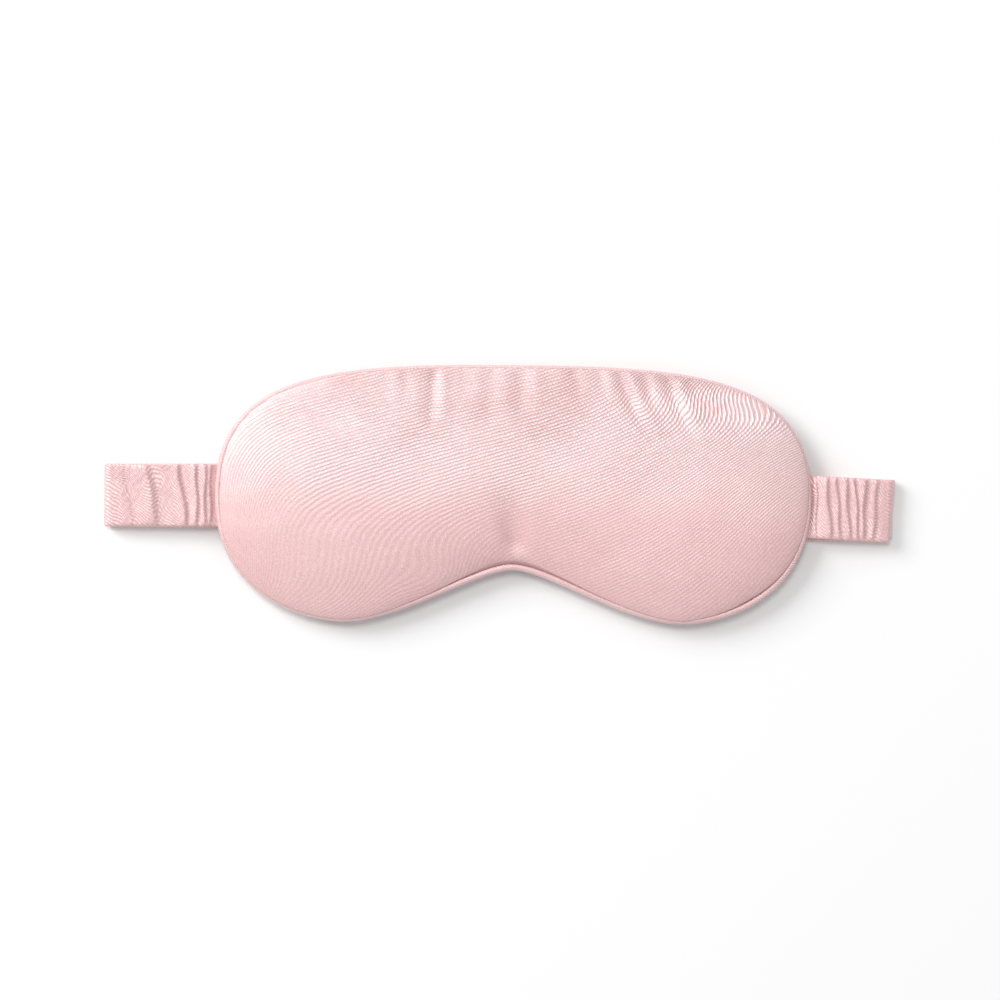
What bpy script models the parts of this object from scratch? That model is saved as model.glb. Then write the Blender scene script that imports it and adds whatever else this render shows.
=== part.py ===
"""Sleep eye mask: a padded satin mask with self-fabric piping and an elastic head strap in a satin casing.

The mask lies on its strap, front up. Its width runs along X, its forehead edge faces +Y and +Z leaves the
front. Left is -X. The strap is folded under the mask at both sides and lies on the table at Z = 0.
Each cloth that has to bend is split at the line where it bends, and each bend has its own axis.
"""

import math

import bmesh
import bpy
from mathutils import Vector
from mathutils.geometry import interpolate_bezier, intersect_point_line

MM = 0.001
X_AXIS = Vector((1, 0, 0))
Y_AXIS = Vector((0, 1, 0))
MERGE_DISTANCE = 0.001 * MM

# Mask outline: half widths and heights from the mask's own centre, and the reach of each smooth curve
MASK_CENTRE_X = 4.8 * MM
MASK_HALF_WIDTH = 104.6 * MM
TOP_HEIGHT = 45.3 * MM
TOP_REACH = 60.7 * MM
SIDE_DROP = 0.8 * MM
SIDE_REACH_UP = 44.4 * MM
SIDE_REACH_DOWN = 37.1 * MM
CHEEK_X = 59.2 * MM
CHEEK_DEPTH = 45.1 * MM
CHEEK_REACH_OUT = 12.4 * MM
CHEEK_REACH_IN = 21.0 * MM
NOTCH_DEPTH = 26.6 * MM
NOTCH_REACH = 6.1 * MM
BRIDGE_FLAT = 0.8 * MM
EDGE_STEPS = (14, 7, 7)
FINE_STEPS = (60, 28, 32)

# Heights and cloth thicknesses
MASK_ABOVE_STRAP = 0.5 * MM
FRONT_CROWN = 6.75 * MM
BACK_CROWN = 2.85 * MM
CROWN_RUN = 28.0 * MM
CROWN_POWER = 0.75
PANEL_THICKNESS = 0.5 * MM
LINER_THICKNESS = 0.4 * MM
LAYER_GAP = 0.3 * MM
BRIDGE_GAP = 0.6 * MM

# Piping round the edge, and where the panels and the padding start behind it
PIPING_RADIUS = 1.1 * MM
PIPING_WALL = 0.35 * MM
CORD_CLEARANCE = 0.2 * MM
PAD_MARGIN = 3.0 * MM
RING_SHARES = (0.14, 0.34, 0.62, 1.0)
LOBE_SPINE_X = 60.0 * MM

# Head strap
STRAP_WIDTH = 22.0 * MM
STRAP_THICKNESS = 2.6 * MM
STRAP_CORNER = 1.0 * MM
CASING_WALL = 0.4 * MM
ELASTIC_FACE_CLEARANCE = 0.4 * MM
ELASTIC_SIDE_CLEARANCE = 1.1 * MM
FOLD_X = 136.4 * MM
FOLD_Y = {"left": -1.5 * MM, "right": -4.8 * MM}
SEAM_Y = {"left": -1.2 * MM, "right": -3.5 * MM}
SEAM_CLEARANCE = 0.5 * MM
SEGMENT_GAP = 0.3 * MM
BACK_GAP = 0.4 * MM
MID_RUN_SHARE = 0.5
# Low under the mask, so that the two strap ends keep together while the loop opens
BRIDGE_AXIS_HEIGHT = 0.5 * MM

# Thread bar that holds each strap end in the mask's side seam
BARTACK_LENGTH = 18.0 * MM
BARTACK_RADIUS = 0.3 * MM
BARTACK_BEHIND_PANEL_EDGE = 1.2 * MM
BARTACK_RISE = 0.1 * MM

# What follows from the sizes above
MASK_CENTRE = Vector((MASK_CENTRE_X, (CHEEK_DEPTH - TOP_HEIGHT) / 2, 0))
RIM_HEIGHT = STRAP_THICKNESS + MASK_ABOVE_STRAP + PANEL_THICKNESS + BACK_CROWN + LAYER_GAP / 2
PANEL_INSET = 2 * PIPING_RADIUS + LAYER_GAP
PAD_INSET = PANEL_INSET + PAD_MARGIN
STRAP_MIDDLE = STRAP_THICKNESS / 2
FOLD_HEIGHT = STRAP_THICKNESS + SEGMENT_GAP / 2
STUB_HEIGHT_AT_FOLD = STRAP_THICKNESS + SEGMENT_GAP + STRAP_MIDDLE
SEAM_AXIS_HEIGHT = RIM_HEIGHT - STRAP_MIDDLE
SIGNS = {"left": -1, "right": 1}

COLLECTION_NAME = "sleep_eye_mask"
COLOURS = {
    "blush_satin": ((0.87, 0.62, 0.61), 0.38),
    "piping_satin": ((0.80, 0.53, 0.53), 0.40),
    "strap_satin": ((0.84, 0.58, 0.58), 0.42),
    "sewing_thread": ((0.62, 0.36, 0.37), 0.60),
    "polyester_wadding": ((0.90, 0.89, 0.86), 0.95),
    "blackout_cloth": ((0.02, 0.02, 0.024), 0.85),
    "cotton_cord": ((0.80, 0.76, 0.70), 0.90),
    "woven_elastic": ((0.82, 0.79, 0.76), 0.75),
}


def clear_scene():
    for scene_object in list(bpy.data.objects):
        bpy.data.objects.remove(scene_object, do_unlink=True)


def make_materials():
    made = {}
    for name, (colour, roughness) in COLOURS.items():
        material = bpy.data.materials.new(name)
        material.use_nodes = True
        shader = material.node_tree.nodes["Principled BSDF"]
        shader.inputs["Base Color"].default_value = (*colour, 1)
        shader.inputs["Roughness"].default_value = roughness
        shader.inputs["Metallic"].default_value = 0
        made[name] = material
    return made


def half_outline(steps):
    """The right half's edge round the mask's centre, from the forehead edge to the nose notch."""
    top = Vector((0, TOP_HEIGHT, 0))
    side = Vector((MASK_HALF_WIDTH, -SIDE_DROP, 0))
    cheek = Vector((CHEEK_X, -CHEEK_DEPTH, 0))
    notch = Vector((0, -NOTCH_DEPTH, 0))
    curves = (
        (top, top + X_AXIS * TOP_REACH, side + Y_AXIS * SIDE_REACH_UP, side),
        (side, side - Y_AXIS * SIDE_REACH_DOWN, cheek + X_AXIS * CHEEK_REACH_OUT, cheek),
        (cheek, cheek - X_AXIS * CHEEK_REACH_IN, notch + X_AXIS * NOTCH_REACH, notch),
    )
    points = []
    for curve, count in zip(curves, steps):
        points += interpolate_bezier(*curve, count + 1)[1:]
    points.pop()
    cut = X_AXIS * BRIDGE_GAP / 2
    flat = X_AXIS * (BRIDGE_GAP / 2 + BRIDGE_FLAT)
    return [top + cut, top + flat, *points, notch + flat, notch + cut]


def inset(points, distance):
    """The edge moved inwards. Its two ends stay on the cut at the bridge."""
    moved = []
    for index, point in enumerate(points):
        if index == 0:
            along = X_AXIS
        elif index == len(points) - 1:
            along = -X_AXIS
        else:
            along = (points[index + 1] - points[index - 1]).normalized()
        moved.append(point + Vector((along.y, -along.x, 0)) * distance)
    return moved


def spine_of(points):
    """The middle line that the rings close on: out from the bridge to the lobe's centre and back."""
    last = len(points) - 1
    middles = [(point + points[last - index]) / 2 for index, point in enumerate(points)]
    tip = Vector((LOBE_SPINE_X, middles[last // 2].y, 0))
    return [middle if middle.x < LOBE_SPINE_X else tip for middle in middles]


def ring_grid():
    """Rings from the panels' edge in to the spine. All layers share them, so they never cross."""
    edge = half_outline(EDGE_STEPS)
    pad_edge = inset(edge, PAD_INSET)
    spine = spine_of(pad_edge)
    rings = [inset(edge, PANEL_INSET), pad_edge]
    for share in RING_SHARES:
        rings.append([outer.lerp(inner, share) for outer, inner in zip(pad_edge, spine)])
    return rings


def edge_distance(point, fine_edge):
    nearest = math.inf
    for start, end in zip(fine_edge, fine_edge[1:]):
        foot, share = intersect_point_line(point, start, end)
        foot = start if share < 0 else end if share > 1 else foot
        nearest = min(nearest, (point - foot).length)
    return nearest


def crown(distance):
    """Share of the full puff at a distance from the edge: steep at the seam, level inside."""
    inward = min(max((distance - PANEL_INSET) / CROWN_RUN, 0), 1)
    return (1 - (1 - inward) ** 2) ** CROWN_POWER


def front_inner(distance):
    return RIM_HEIGHT + LAYER_GAP / 2 + FRONT_CROWN * crown(distance)


def front_outer(distance):
    return front_inner(distance) + PANEL_THICKNESS


def back_inner(distance):
    return RIM_HEIGHT - LAYER_GAP / 2 - BACK_CROWN * crown(distance)


def back_outer(distance):
    return back_inner(distance) - PANEL_THICKNESS


def liner_lower(distance):
    return back_inner(distance) + LAYER_GAP


def liner_upper(distance):
    return liner_lower(distance) + LINER_THICKNESS


def wadding_lower(distance):
    return liner_upper(distance) + LAYER_GAP


def wadding_upper(distance):
    return front_inner(distance) - LAYER_GAP


def finish_mesh(name, mesh_builder, material, parent):
    """Turns a bmesh in world space into a named object that hangs from its axis empty."""
    bmesh.ops.recalc_face_normals(mesh_builder, faces=mesh_builder.faces)
    mesh = bpy.data.meshes.new(name)
    mesh_builder.to_mesh(mesh)
    mesh_builder.free()
    finished = bpy.data.objects.new(name, mesh)
    adopt(finished, material, parent)
    mesh.shade_smooth()
    mesh.set_sharp_from_angle(angle=math.radians(40))
    return finished


def adopt(piece, material, parent):
    if piece.name not in PARTS.objects:
        PARTS.objects.link(piece)
    piece.data.materials.append(material)
    piece.parent = parent
    piece.matrix_parent_inverse = parent.matrix_world.inverted()


def axis_empty(name, place, parent=None):
    """An empty on a bend's axis. Everything past the bend hangs from it."""
    empty = bpy.data.objects.new(name, None)
    empty.empty_display_size = 5 * MM
    PARTS.objects.link(empty)
    empty.location = place
    if parent:
        empty.parent = parent
        empty.matrix_parent_inverse = parent.matrix_world.inverted()
    bpy.context.view_layer.update()
    return empty


def mask_layer(name, side, rings, levels, material, parent):
    """One cloth or padding layer of a mask half: the flat ring mesh made thick between two levels."""
    lower, upper = levels
    builder = bmesh.new()
    rows = [[builder.verts.new(point) for point in ring] for ring in rings]
    for outer, inner in zip(rows, rows[1:]):
        for column in range(len(outer) - 1):
            corners = (outer[column], outer[column + 1], inner[column + 1], inner[column])
            builder.faces.new(corners)
    bmesh.ops.remove_doubles(builder, verts=builder.verts, dist=MERGE_DISTANCE)
    bmesh.ops.triangulate(builder, faces=builder.faces)
    raised = bmesh.ops.extrude_face_region(builder, geom=builder.faces[:])["geom"]
    top = {item for item in raised if isinstance(item, bmesh.types.BMVert)}
    for vertex in builder.verts:
        distance = edge_distance(vertex.co, FINE_EDGE)
        vertex.co.z = upper(distance) if vertex in top else lower(distance)
    if side == "left":
        bmesh.ops.scale(builder, vec=(-1, 1, 1), verts=builder.verts)
    bmesh.ops.translate(builder, vec=MASK_CENTRE, verts=builder.verts)
    return finish_mesh(name, builder, material, parent)


def edge_tube(name, side, path, radius, material, parent, wall=0):
    """A tube along a path beside the mask half's edge. With a wall it is hollow and open at both ends."""
    sign = SIGNS[side]
    curve = bpy.data.curves.new(name, "CURVE")
    curve.dimensions = "3D"
    curve.twist_mode = "Z_UP"
    curve.bevel_depth = radius
    curve.bevel_resolution = 2
    curve.use_fill_caps = not wall
    spline = curve.splines.new("POLY")
    spline.points.add(len(path) - 1)
    for knot, point in zip(spline.points, path):
        knot.co = (*(MASK_CENTRE + Vector((sign * point.x, point.y, point.z))), 1)
    tube = bpy.data.objects.new(name, curve)
    adopt(tube, material, parent)
    if wall:
        solidify = tube.modifiers.new("cloth", "SOLIDIFY")
        solidify.thickness = wall
        solidify.offset = -1
        solidify.use_even_offset = True
    return tube


def raised(points, height):
    return [Vector((point.x, point.y, height)) for point in points]


def flat_section(centre, width, height, corner):
    """A rounded flat section across the strap, in the plane X = centre.x."""
    points = []
    for quarter in range(4):
        turn = quarter * math.pi / 2
        across = math.copysign(width / 2 - corner, math.cos(turn + math.pi / 4))
        upward = math.copysign(height / 2 - corner, math.sin(turn + math.pi / 4))
        for step in range(4):
            angle = turn + step * math.pi / 6
            rim = Vector((0, math.cos(angle), math.sin(angle))) * corner
            points.append(centre + Vector((0, across, upward)) + rim)
    return points


def loft(builder, sections, closed):
    """Skins a row of like sections. Closed joins the last to the first, otherwise both ends are capped."""
    rows = [[builder.verts.new(point) for point in section] for section in sections]
    pairs = list(zip(rows, rows[1:]))
    if closed:
        pairs.append((rows[-1], rows[0]))
    for first, second in pairs:
        for index in range(len(first)):
            following = (index + 1) % len(first)
            builder.faces.new((first[index], first[following], second[following], second[index]))
    if not closed:
        builder.faces.new(rows[0])
        builder.faces.new(rows[-1])


def strap_piece(name, start, end, material, parent, hollow):
    """One straight length of the strap's casing, or of the elastic inside it."""
    builder = bmesh.new()
    inner_width = STRAP_WIDTH - 2 * CASING_WALL
    inner_height = STRAP_THICKNESS - 2 * CASING_WALL
    inner_corner = STRAP_CORNER - CASING_WALL
    if hollow:
        outer = (STRAP_WIDTH, STRAP_THICKNESS, STRAP_CORNER)
        inner = (inner_width, inner_height, inner_corner)
        ends = ((start, outer), (end, outer), (end, inner), (start, inner))
        sections = [flat_section(centre, *size) for centre, size in ends]
    else:
        width = inner_width - 2 * ELASTIC_SIDE_CLEARANCE
        height = inner_height - 2 * ELASTIC_FACE_CLEARANCE
        sections = [flat_section(centre, width, height, height / 4) for centre in (start, end)]
    loft(builder, sections, closed=hollow)
    return finish_mesh(name, builder, material, parent)


def strap_side(side, mask_axis):
    """The strap from one side seam to the centre of its back: three lengths, each past its own bend."""
    sign = SIGNS[side]
    seam_x = MASK_CENTRE.x + sign * (MASK_HALF_WIDTH + SEAM_CLEARANCE)
    fold_x = sign * FOLD_X
    back_x = MASK_CENTRE.x
    mid_x = fold_x + (back_x - fold_x) * MID_RUN_SHARE
    run_start = Vector((fold_x, FOLD_Y[side], STRAP_MIDDLE))
    run_end = Vector((back_x, (FOLD_Y["left"] + FOLD_Y["right"]) / 2, STRAP_MIDDLE))
    run_middle = run_start.lerp(run_end, MID_RUN_SHARE)
    clear = X_AXIS * sign * SEGMENT_GAP / 2
    lengths = {
        "stub": (
            Vector((seam_x, SEAM_Y[side], SEAM_AXIS_HEIGHT)),
            Vector((seam_x, SEAM_Y[side], RIM_HEIGHT)),
            Vector((fold_x, FOLD_Y[side], STUB_HEIGHT_AT_FOLD)) - clear,
        ),
        "side": (
            Vector((fold_x, FOLD_Y[side], FOLD_HEIGHT)),
            run_start - clear,
            run_middle + clear,
        ),
        "back": (
            Vector((mid_x, run_middle.y, FOLD_HEIGHT)),
            run_middle - clear,
            run_end + X_AXIS * sign * BACK_GAP / 2,
        ),
    }
    parent = mask_axis
    for length_name, (axis, start, end) in lengths.items():
        parent = axis_empty(f"strap_{side}_{length_name}_axis", axis, parent)
        label = f"{side}_{length_name}"
        casing = MATERIALS["strap_satin"]
        strap_piece(f"strap_casing_{label}", start, end, casing, parent, hollow=True)
        elastic = MATERIALS["woven_elastic"]
        strap_piece(f"strap_elastic_{label}", start, end, elastic, parent, hollow=False)


def piping(side, parent):
    path = raised(inset(half_outline(EDGE_STEPS), PIPING_RADIUS), RIM_HEIGHT)
    cover = MATERIALS["piping_satin"]
    edge_tube(f"piping_cover_{side}", side, path, PIPING_RADIUS, cover, parent, wall=PIPING_WALL)
    cord_radius = PIPING_RADIUS - PIPING_WALL - CORD_CLEARANCE
    edge_tube(f"piping_cord_{side}", side, path, cord_radius, MATERIALS["cotton_cord"], parent)


def bartack(side, parent):
    """The dense line of stitches behind the piping, between the two panels, across the strap's end."""
    line = raised(inset(FINE_EDGE, PANEL_INSET + BARTACK_BEHIND_PANEL_EDGE), RIM_HEIGHT + BARTACK_RISE)
    strap_y = SEAM_Y[side] - MASK_CENTRE.y
    path = [point for point in line if point.x > CHEEK_X and abs(point.y - strap_y) < BARTACK_LENGTH / 2]
    thread = MATERIALS["sewing_thread"]
    edge_tube(f"seam_bartack_{side}", side, path, BARTACK_RADIUS, thread, parent)


def mask_half(side, parent):
    panel_rings = ring_grid()
    pad_rings = panel_rings[1:]
    satin = MATERIALS["blush_satin"]
    layers = (
        ("front_panel", panel_rings, (front_inner, front_outer), satin),
        ("wadding", pad_rings, (wadding_lower, wadding_upper), MATERIALS["polyester_wadding"]),
        ("blackout_liner", pad_rings, (liner_lower, liner_upper), MATERIALS["blackout_cloth"]),
        ("back_panel", panel_rings, (back_outer, back_inner), satin),
    )
    for name, rings, levels, material in layers:
        mask_layer(f"{name}_{side}", side, rings, levels, material, parent)
    piping(side, parent)
    bartack(side, parent)


clear_scene()
PARTS = bpy.data.collections.new(COLLECTION_NAME)
bpy.context.scene.collection.children.link(PARTS)
MATERIALS = make_materials()
FINE_EDGE = half_outline(FINE_STEPS)

BRIDGE_PLACE = MASK_CENTRE + Vector((0, 0, BRIDGE_AXIS_HEIGHT))
for mask_side in SIGNS:
    BRIDGE_AXIS = axis_empty(f"bridge_axis_{mask_side}", BRIDGE_PLACE)
    mask_half(mask_side, BRIDGE_AXIS)
    strap_side(mask_side, BRIDGE_AXIS)
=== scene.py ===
import math
import random

import bmesh
import bpy
import numpy as np
from mathutils import Euler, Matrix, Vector, noise
from mathutils.geometry import delaunay_2d_cdt, interpolate_bezier


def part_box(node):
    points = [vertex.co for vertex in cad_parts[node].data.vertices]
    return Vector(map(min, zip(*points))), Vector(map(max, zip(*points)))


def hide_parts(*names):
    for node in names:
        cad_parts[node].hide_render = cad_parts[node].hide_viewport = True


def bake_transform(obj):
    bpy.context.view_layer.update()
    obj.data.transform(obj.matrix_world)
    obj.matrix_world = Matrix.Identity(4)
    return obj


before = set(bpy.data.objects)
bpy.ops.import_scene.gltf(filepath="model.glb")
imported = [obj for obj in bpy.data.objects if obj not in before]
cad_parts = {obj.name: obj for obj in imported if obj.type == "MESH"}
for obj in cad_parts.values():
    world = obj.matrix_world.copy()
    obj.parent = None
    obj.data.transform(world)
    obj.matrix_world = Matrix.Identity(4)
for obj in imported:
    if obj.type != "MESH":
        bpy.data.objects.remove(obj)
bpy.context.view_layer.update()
bpy.ops.object.select_all(action="DESELECT")
mm = 0.001

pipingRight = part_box("piping_cover_right")
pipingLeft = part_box("piping_cover_left")
strapSideBox = {side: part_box(f"strap_casing_{side}_side") for side in ("left", "right")}
sideSign = {"left": -1, "right": 1}

maskMiddle = Vector(((pipingRight[1].x + pipingLeft[0].x) / 2, (pipingRight[1].y + pipingRight[0].y) / 2, 0))
halfWidth = (pipingRight[1].x - pipingLeft[0].x) / 2
halfDepth = (pipingRight[1].y - pipingRight[0].y) / 2
pipingRadius = (pipingRight[1].z - pipingRight[0].z) / 2
rimHeight = (pipingRight[1].z + pipingRight[0].z) / 2

# the mask's cut shape, measured from its middle
maskCut = {
    "topReach": 60.7 * mm,
    "sideDrop": 0.9 * mm,
    "sideReachUp": 44.4 * mm,
    "sideReachDown": 37.1 * mm,
    "cheekX": 59.2 * mm,
    "cheekReachOut": 12.4 * mm,
    "cheekReachIn": 20.0 * mm,
    "notchDepth": 26.7 * mm,
    "notchReach": 12.0 * mm,
    "steps": (96, 48, 48),
    "rimSteps": 560,
}


def say(stage):
    print("eye mask:", stage)


def makePiece(name, points, faces):
    mesh = bpy.data.meshes.new(name)
    mesh.from_pydata([tuple(map(float, point)) for point in points], [], faces)
    mesh.update()
    piece = bpy.data.objects.new(name, mesh)
    bpy.context.scene.collection.objects.link(piece)
    return piece


def selectOnly(piece):
    bpy.ops.object.select_all(action="DESELECT")
    piece.select_set(True)
    bpy.context.view_layer.objects.active = piece


def applyModifiers(piece):
    selectOnly(piece)
    for modifier in list(piece.modifiers):
        bpy.ops.object.modifier_apply(modifier=modifier.name)


def pointsOf(piece):
    points = np.empty(len(piece.data.vertices) * 3)
    piece.data.vertices.foreach_get("co", points)
    return points.reshape(-1, 3)


def setPoints(piece, points):
    piece.data.vertices.foreach_set("co", np.ascontiguousarray(points, dtype=np.float64).ravel())
    piece.data.update()


def setUv(piece, name, values):  # values: one pair for each vertex
    layer = piece.data.uv_layers.new(name=name)
    corners = np.empty(len(piece.data.loops), np.int32)
    piece.data.loops.foreach_get("vertex_index", corners)
    layer.data.foreach_set("uv", np.ascontiguousarray(values[corners], dtype=np.float32).ravel())


def setNumber(piece, name, values):
    attribute = piece.data.attributes.new(name, "FLOAT", "POINT")
    attribute.data.foreach_set("value", np.ascontiguousarray(values, dtype=np.float32))


def smoothStep(values, low, high):
    share = np.clip((values - low) / (high - low), 0, 1)
    return share * share * (3 - 2 * share)


def bell(values, width):
    return np.exp(-((values / width) ** 2))


def softNoise(points, size, seed):
    return np.array([noise.noise(Vector((x / size, y / size, z / size + seed))) for x, y, z in points])


def halfOutline():
    cut = maskCut
    top = Vector((0, halfDepth))
    side = Vector((halfWidth, -cut["sideDrop"]))
    cheek = Vector((cut["cheekX"], -halfDepth))
    notch = Vector((0, -cut["notchDepth"]))
    xAxis, yAxis = Vector((1, 0)), Vector((0, 1))
    curves = (
        (top, top + xAxis * cut["topReach"], side + yAxis * cut["sideReachUp"], side),
        (side, side - yAxis * cut["sideReachDown"], cheek + xAxis * cut["cheekReachOut"], cheek),
        (cheek, cheek - xAxis * cut["cheekReachIn"], notch + xAxis * cut["notchReach"], notch),
    )
    points = [top]
    for curve, count in zip(curves, cut["steps"]):
        points += interpolate_bezier(*curve, count + 1)[1:]
    return points


def outlineLoop(count):  # clockwise from the middle of the forehead edge, evenly spaced
    right = [(point.x, point.y) for point in halfOutline()]
    left = [(-x, y) for x, y in right[-2:0:-1]]
    loop = np.array(right + left + [right[0]])
    steps = np.concatenate([[0], np.cumsum(np.linalg.norm(np.diff(loop, axis=0), axis=1))])
    places = np.linspace(0, steps[-1], count + 1)[:-1]
    even = np.stack([np.interp(places, steps, loop[:, axis]) for axis in (0, 1)], axis=1)
    along = np.roll(even, -1, axis=0) - np.roll(even, 1, axis=0)
    along /= np.linalg.norm(along, axis=1)[:, None]
    inward = np.stack([along[:, 1], -along[:, 0]], axis=1)
    return even + np.array(maskMiddle.xy), inward, places


rimPoints, rimInward, _ = outlineLoop(maskCut["rimSteps"])


def edgeDistance(points):
    nearest = np.full(len(points), 1.0)
    following = np.roll(rimPoints, -1, axis=0)
    for start, end in zip(rimPoints, following):
        run = end - start
        share = np.clip(((points[:, :2] - start) @ run) / (run @ run), 0, 1)
        foot = start + share[:, None] * run
        nearest = np.minimum(nearest, np.linalg.norm(points[:, :2] - foot, axis=1))
    return nearest


topHalf = rimInward[:, 1] < -0.2  # where the edge faces the forehead
topOrder = np.argsort(rimPoints[topHalf, 0])
topEdgeX = rimPoints[topHalf, 0][topOrder]
topEdgeY = rimPoints[topHalf, 1][topOrder]

panelCut = {
    "seamInset": 2.1 * mm,  # where the panel goes down beside the piping
    "spacing": 1.7 * mm,
    "rimRings": (0, 0.5, 1.1, 1.9, 3.0, 4.4),  # mm in from the seam
    "ringGap": 1.3,  # mm from the last ring to the even filling
    "thickness": 0.4 * mm,
    "mostFromSeam": 50,  # mm, past which the distance no longer matters
}


def cutPanel(name, seamInset):
    rings = [rimPoints[::2] + rimInward[::2] * (seamInset + ring * mm) for ring in panelCut["rimRings"]]
    flat = [tuple(point) for ring in rings for point in ring]
    border = len(rings[0])
    spacing = panelCut["spacing"]
    xs = np.arange(-halfWidth, halfWidth, spacing)
    ys = np.arange(-halfDepth, halfDepth, spacing * math.sqrt(3) / 2)
    filling = np.array([(x + (row % 2) * spacing / 2, y) for row, y in enumerate(ys) for x in xs])
    filling += np.array(maskMiddle.xy)
    deepEnough = seamInset + (panelCut["rimRings"][-1] + panelCut["ringGap"]) * mm
    filling = filling[insideRim(filling) & (edgeDistance(filling) > deepEnough)]
    flat += [tuple(point) for point in filling]
    edges = [(index, (index + 1) % border) for index in range(border)]
    points, _, faces, *_ = delaunay_2d_cdt([Vector(point) for point in flat], edges, [], 1, 1e-7)
    return makePiece(name, [(point.x, point.y, rimHeight) for point in points], faces)


def insideRim(points):
    inside = np.zeros(len(points), bool)
    for start, end in zip(rimPoints, np.roll(rimPoints, -1, axis=0)):
        crosses = (start[1] > points[:, 1]) != (end[1] > points[:, 1])
        if crosses.any():
            place = start[0] + (points[:, 1] - start[1]) / (end[1] - start[1] + 1e-12) * (end[0] - start[0])
            inside ^= crosses & (points[:, 0] < place)
    return inside


def crown(inward, power):
    share = np.clip(inward, 0, 1)
    return (1 - (1 - share) ** 2) ** power


clothRun = {
    "frames": 20,
    "pressure": 4.0,
    "cap": 1.6 * mm,
    "pinnedTo": 0.8 * mm,  # from the seam
    "quality": 6,
    "stretching": 20,
    "bending": 0.8,
}


def puffUp(piece, pinned):  # lets the padding push the pinned panel out
    group = piece.vertex_groups.new(name="seam")
    group.add([int(index) for index in np.flatnonzero(pinned)], 1.0, "REPLACE")
    before = pointsOf(piece)
    cloth = piece.modifiers.new("padding", "CLOTH")
    cloth.settings.use_pressure = True
    cloth.settings.uniform_pressure_force = clothRun["pressure"]
    cloth.settings.vertex_group_mass = "seam"
    cloth.settings.effector_weights.gravity = 0
    cloth.settings.quality = clothRun["quality"]
    cloth.settings.tension_stiffness = clothRun["stretching"]
    cloth.settings.compression_stiffness = clothRun["stretching"]
    cloth.settings.bending_stiffness = clothRun["bending"]
    cloth.point_cache.frame_end = clothRun["frames"]
    scene = bpy.context.scene
    for number in range(1, clothRun["frames"] + 1):
        scene.frame_set(number)
    applyModifiers(piece)
    scene.frame_set(1)
    moved = pointsOf(piece) - before
    length = np.linalg.norm(moved, axis=1)
    moved *= (np.minimum(length, clothRun["cap"]) / np.maximum(length, 1e-9))[:, None]
    setPoints(piece, before + moved)
    piece.vertex_groups.clear()
    print("  the padding moved the panel by up to", round(float(length.max() / mm), 2), "mm")


frontPuff = {
    "rise": 6.5 * mm,
    "run": 43 * mm,
    "power": 0.52,
    "seamHeight": 0.35 * mm,  # above the piping's middle
    "rollRise": 0.5 * mm,
    "rollFade": 10 * mm,
    "ripples": (  # height, size, seed, fade
        (0.10 * mm, 9 * mm, 3, 6 * mm),
        (0.16 * mm, 22 * mm, 8, 12 * mm),
    ),
}
# the roll out over the piping in mm, by the share of the way round from the forehead's middle
seamRoll = (
    (0.00, 1.7), (0.14, 1.7), (0.22, 1.9), (0.27, 1.3), (0.33, 0.0), (0.38, 1.6), (0.45, 0.6), (0.49, -0.7),
    (0.51, -0.7), (0.55, 0.8), (0.60, 1.7), (0.66, 1.8), (0.71, 1.5), (0.76, 0.9), (0.81, 1.2), (0.88, 1.7),
    (1.00, 1.7),
)

# gathers let into the forehead edge: place, lean, length, width and depth in mm
gathers = (
    (-40.0, 0.00, 15, 1.9, 0.25),
    (-33.5, 0.05, 17, 1.7, 0.30),
    (-23.0, -0.06, 27, 1.8, 0.80),
    (-12.5, 0.05, 16, 2.2, 0.22),
    (-3.0, -0.05, 28, 2.6, 0.40),
    (7.2, 0.05, 24, 2.6, 0.50),
    (16.0, 0.10, 12, 2.2, 0.20),
    (25.0, 0.18, 15, 1.8, 0.38),
    (33.4, 0.30, 13, 1.5, 0.40),
    (39.8, 0.48, 27, 2.0, 0.95),
    (49.4, 0.28, 15, 1.5, 0.60),
    (57.0, 0.42, 25, 2.1, 0.90),
    (66.0, 0.20, 12, 2.0, 0.22),
)
gatherShape = {
    "start": (1.2, 4.5),  # mm down from the forehead edge
    "fadeFrom": 0.35,  # share of the length
    "widening": 0.5,
    "shoulder": 0.55,  # height of the puff beside a crease
    "shoulderPlace": 1.7,
    "shoulderWidth": 1.1,
    "lowest": -5,  # mm
    "weavePull": 0.9,
}
noseValley = {
    "from": (7.0, -24.0),
    "to": (1.0, 9.0),
    "width": 3.4,
    "depth": 1.9,
    "startShare": (-0.25, 0.05),
    "rimFade": (0.4 * mm, 9 * mm),
}


def gatherRelief(points):  # metres, negative in the creases
    x, y = points[:, 0] / mm, points[:, 1] / mm
    down = np.interp(points[:, 0], topEdgeX, topEdgeY) / mm - y
    relief, shape = np.zeros(len(points)), gatherShape
    for place, lean, length, width, depth in gathers:
        across = x - place - lean * down
        fade = smoothStep(down, *shape["start"]) * (1 - smoothStep(down, length * shape["fadeFrom"], length))
        spread = width * (1 + down / length * shape["widening"])
        shoulder = bell(across - shape["shoulderPlace"] * spread, spread * shape["shoulderWidth"])
        relief += fade * depth * (shape["shoulder"] * shoulder - bell(across, spread))
    return relief * mm * (y > shape["lowest"])


def noseRelief(points, distance):
    start, end = (np.array(noseValley[key]) for key in ("from", "to"))
    run = end - start
    offset = points[:, :2] / mm - start
    share = (offset @ run) / (run @ run)
    across = (offset[:, 0] * run[1] - offset[:, 1] * run[0]) / np.linalg.norm(run)
    low, high = noseValley["startShare"]
    fade = (1 - smoothStep(share, high, 1.0)) * smoothStep(share, low, high)
    fade *= smoothStep(distance, *noseValley["rimFade"])
    width = noseValley["width"] * (1 + np.clip(share, 0, 1))
    return -noseValley["depth"] * mm * fade * bell(across, width)


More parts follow.
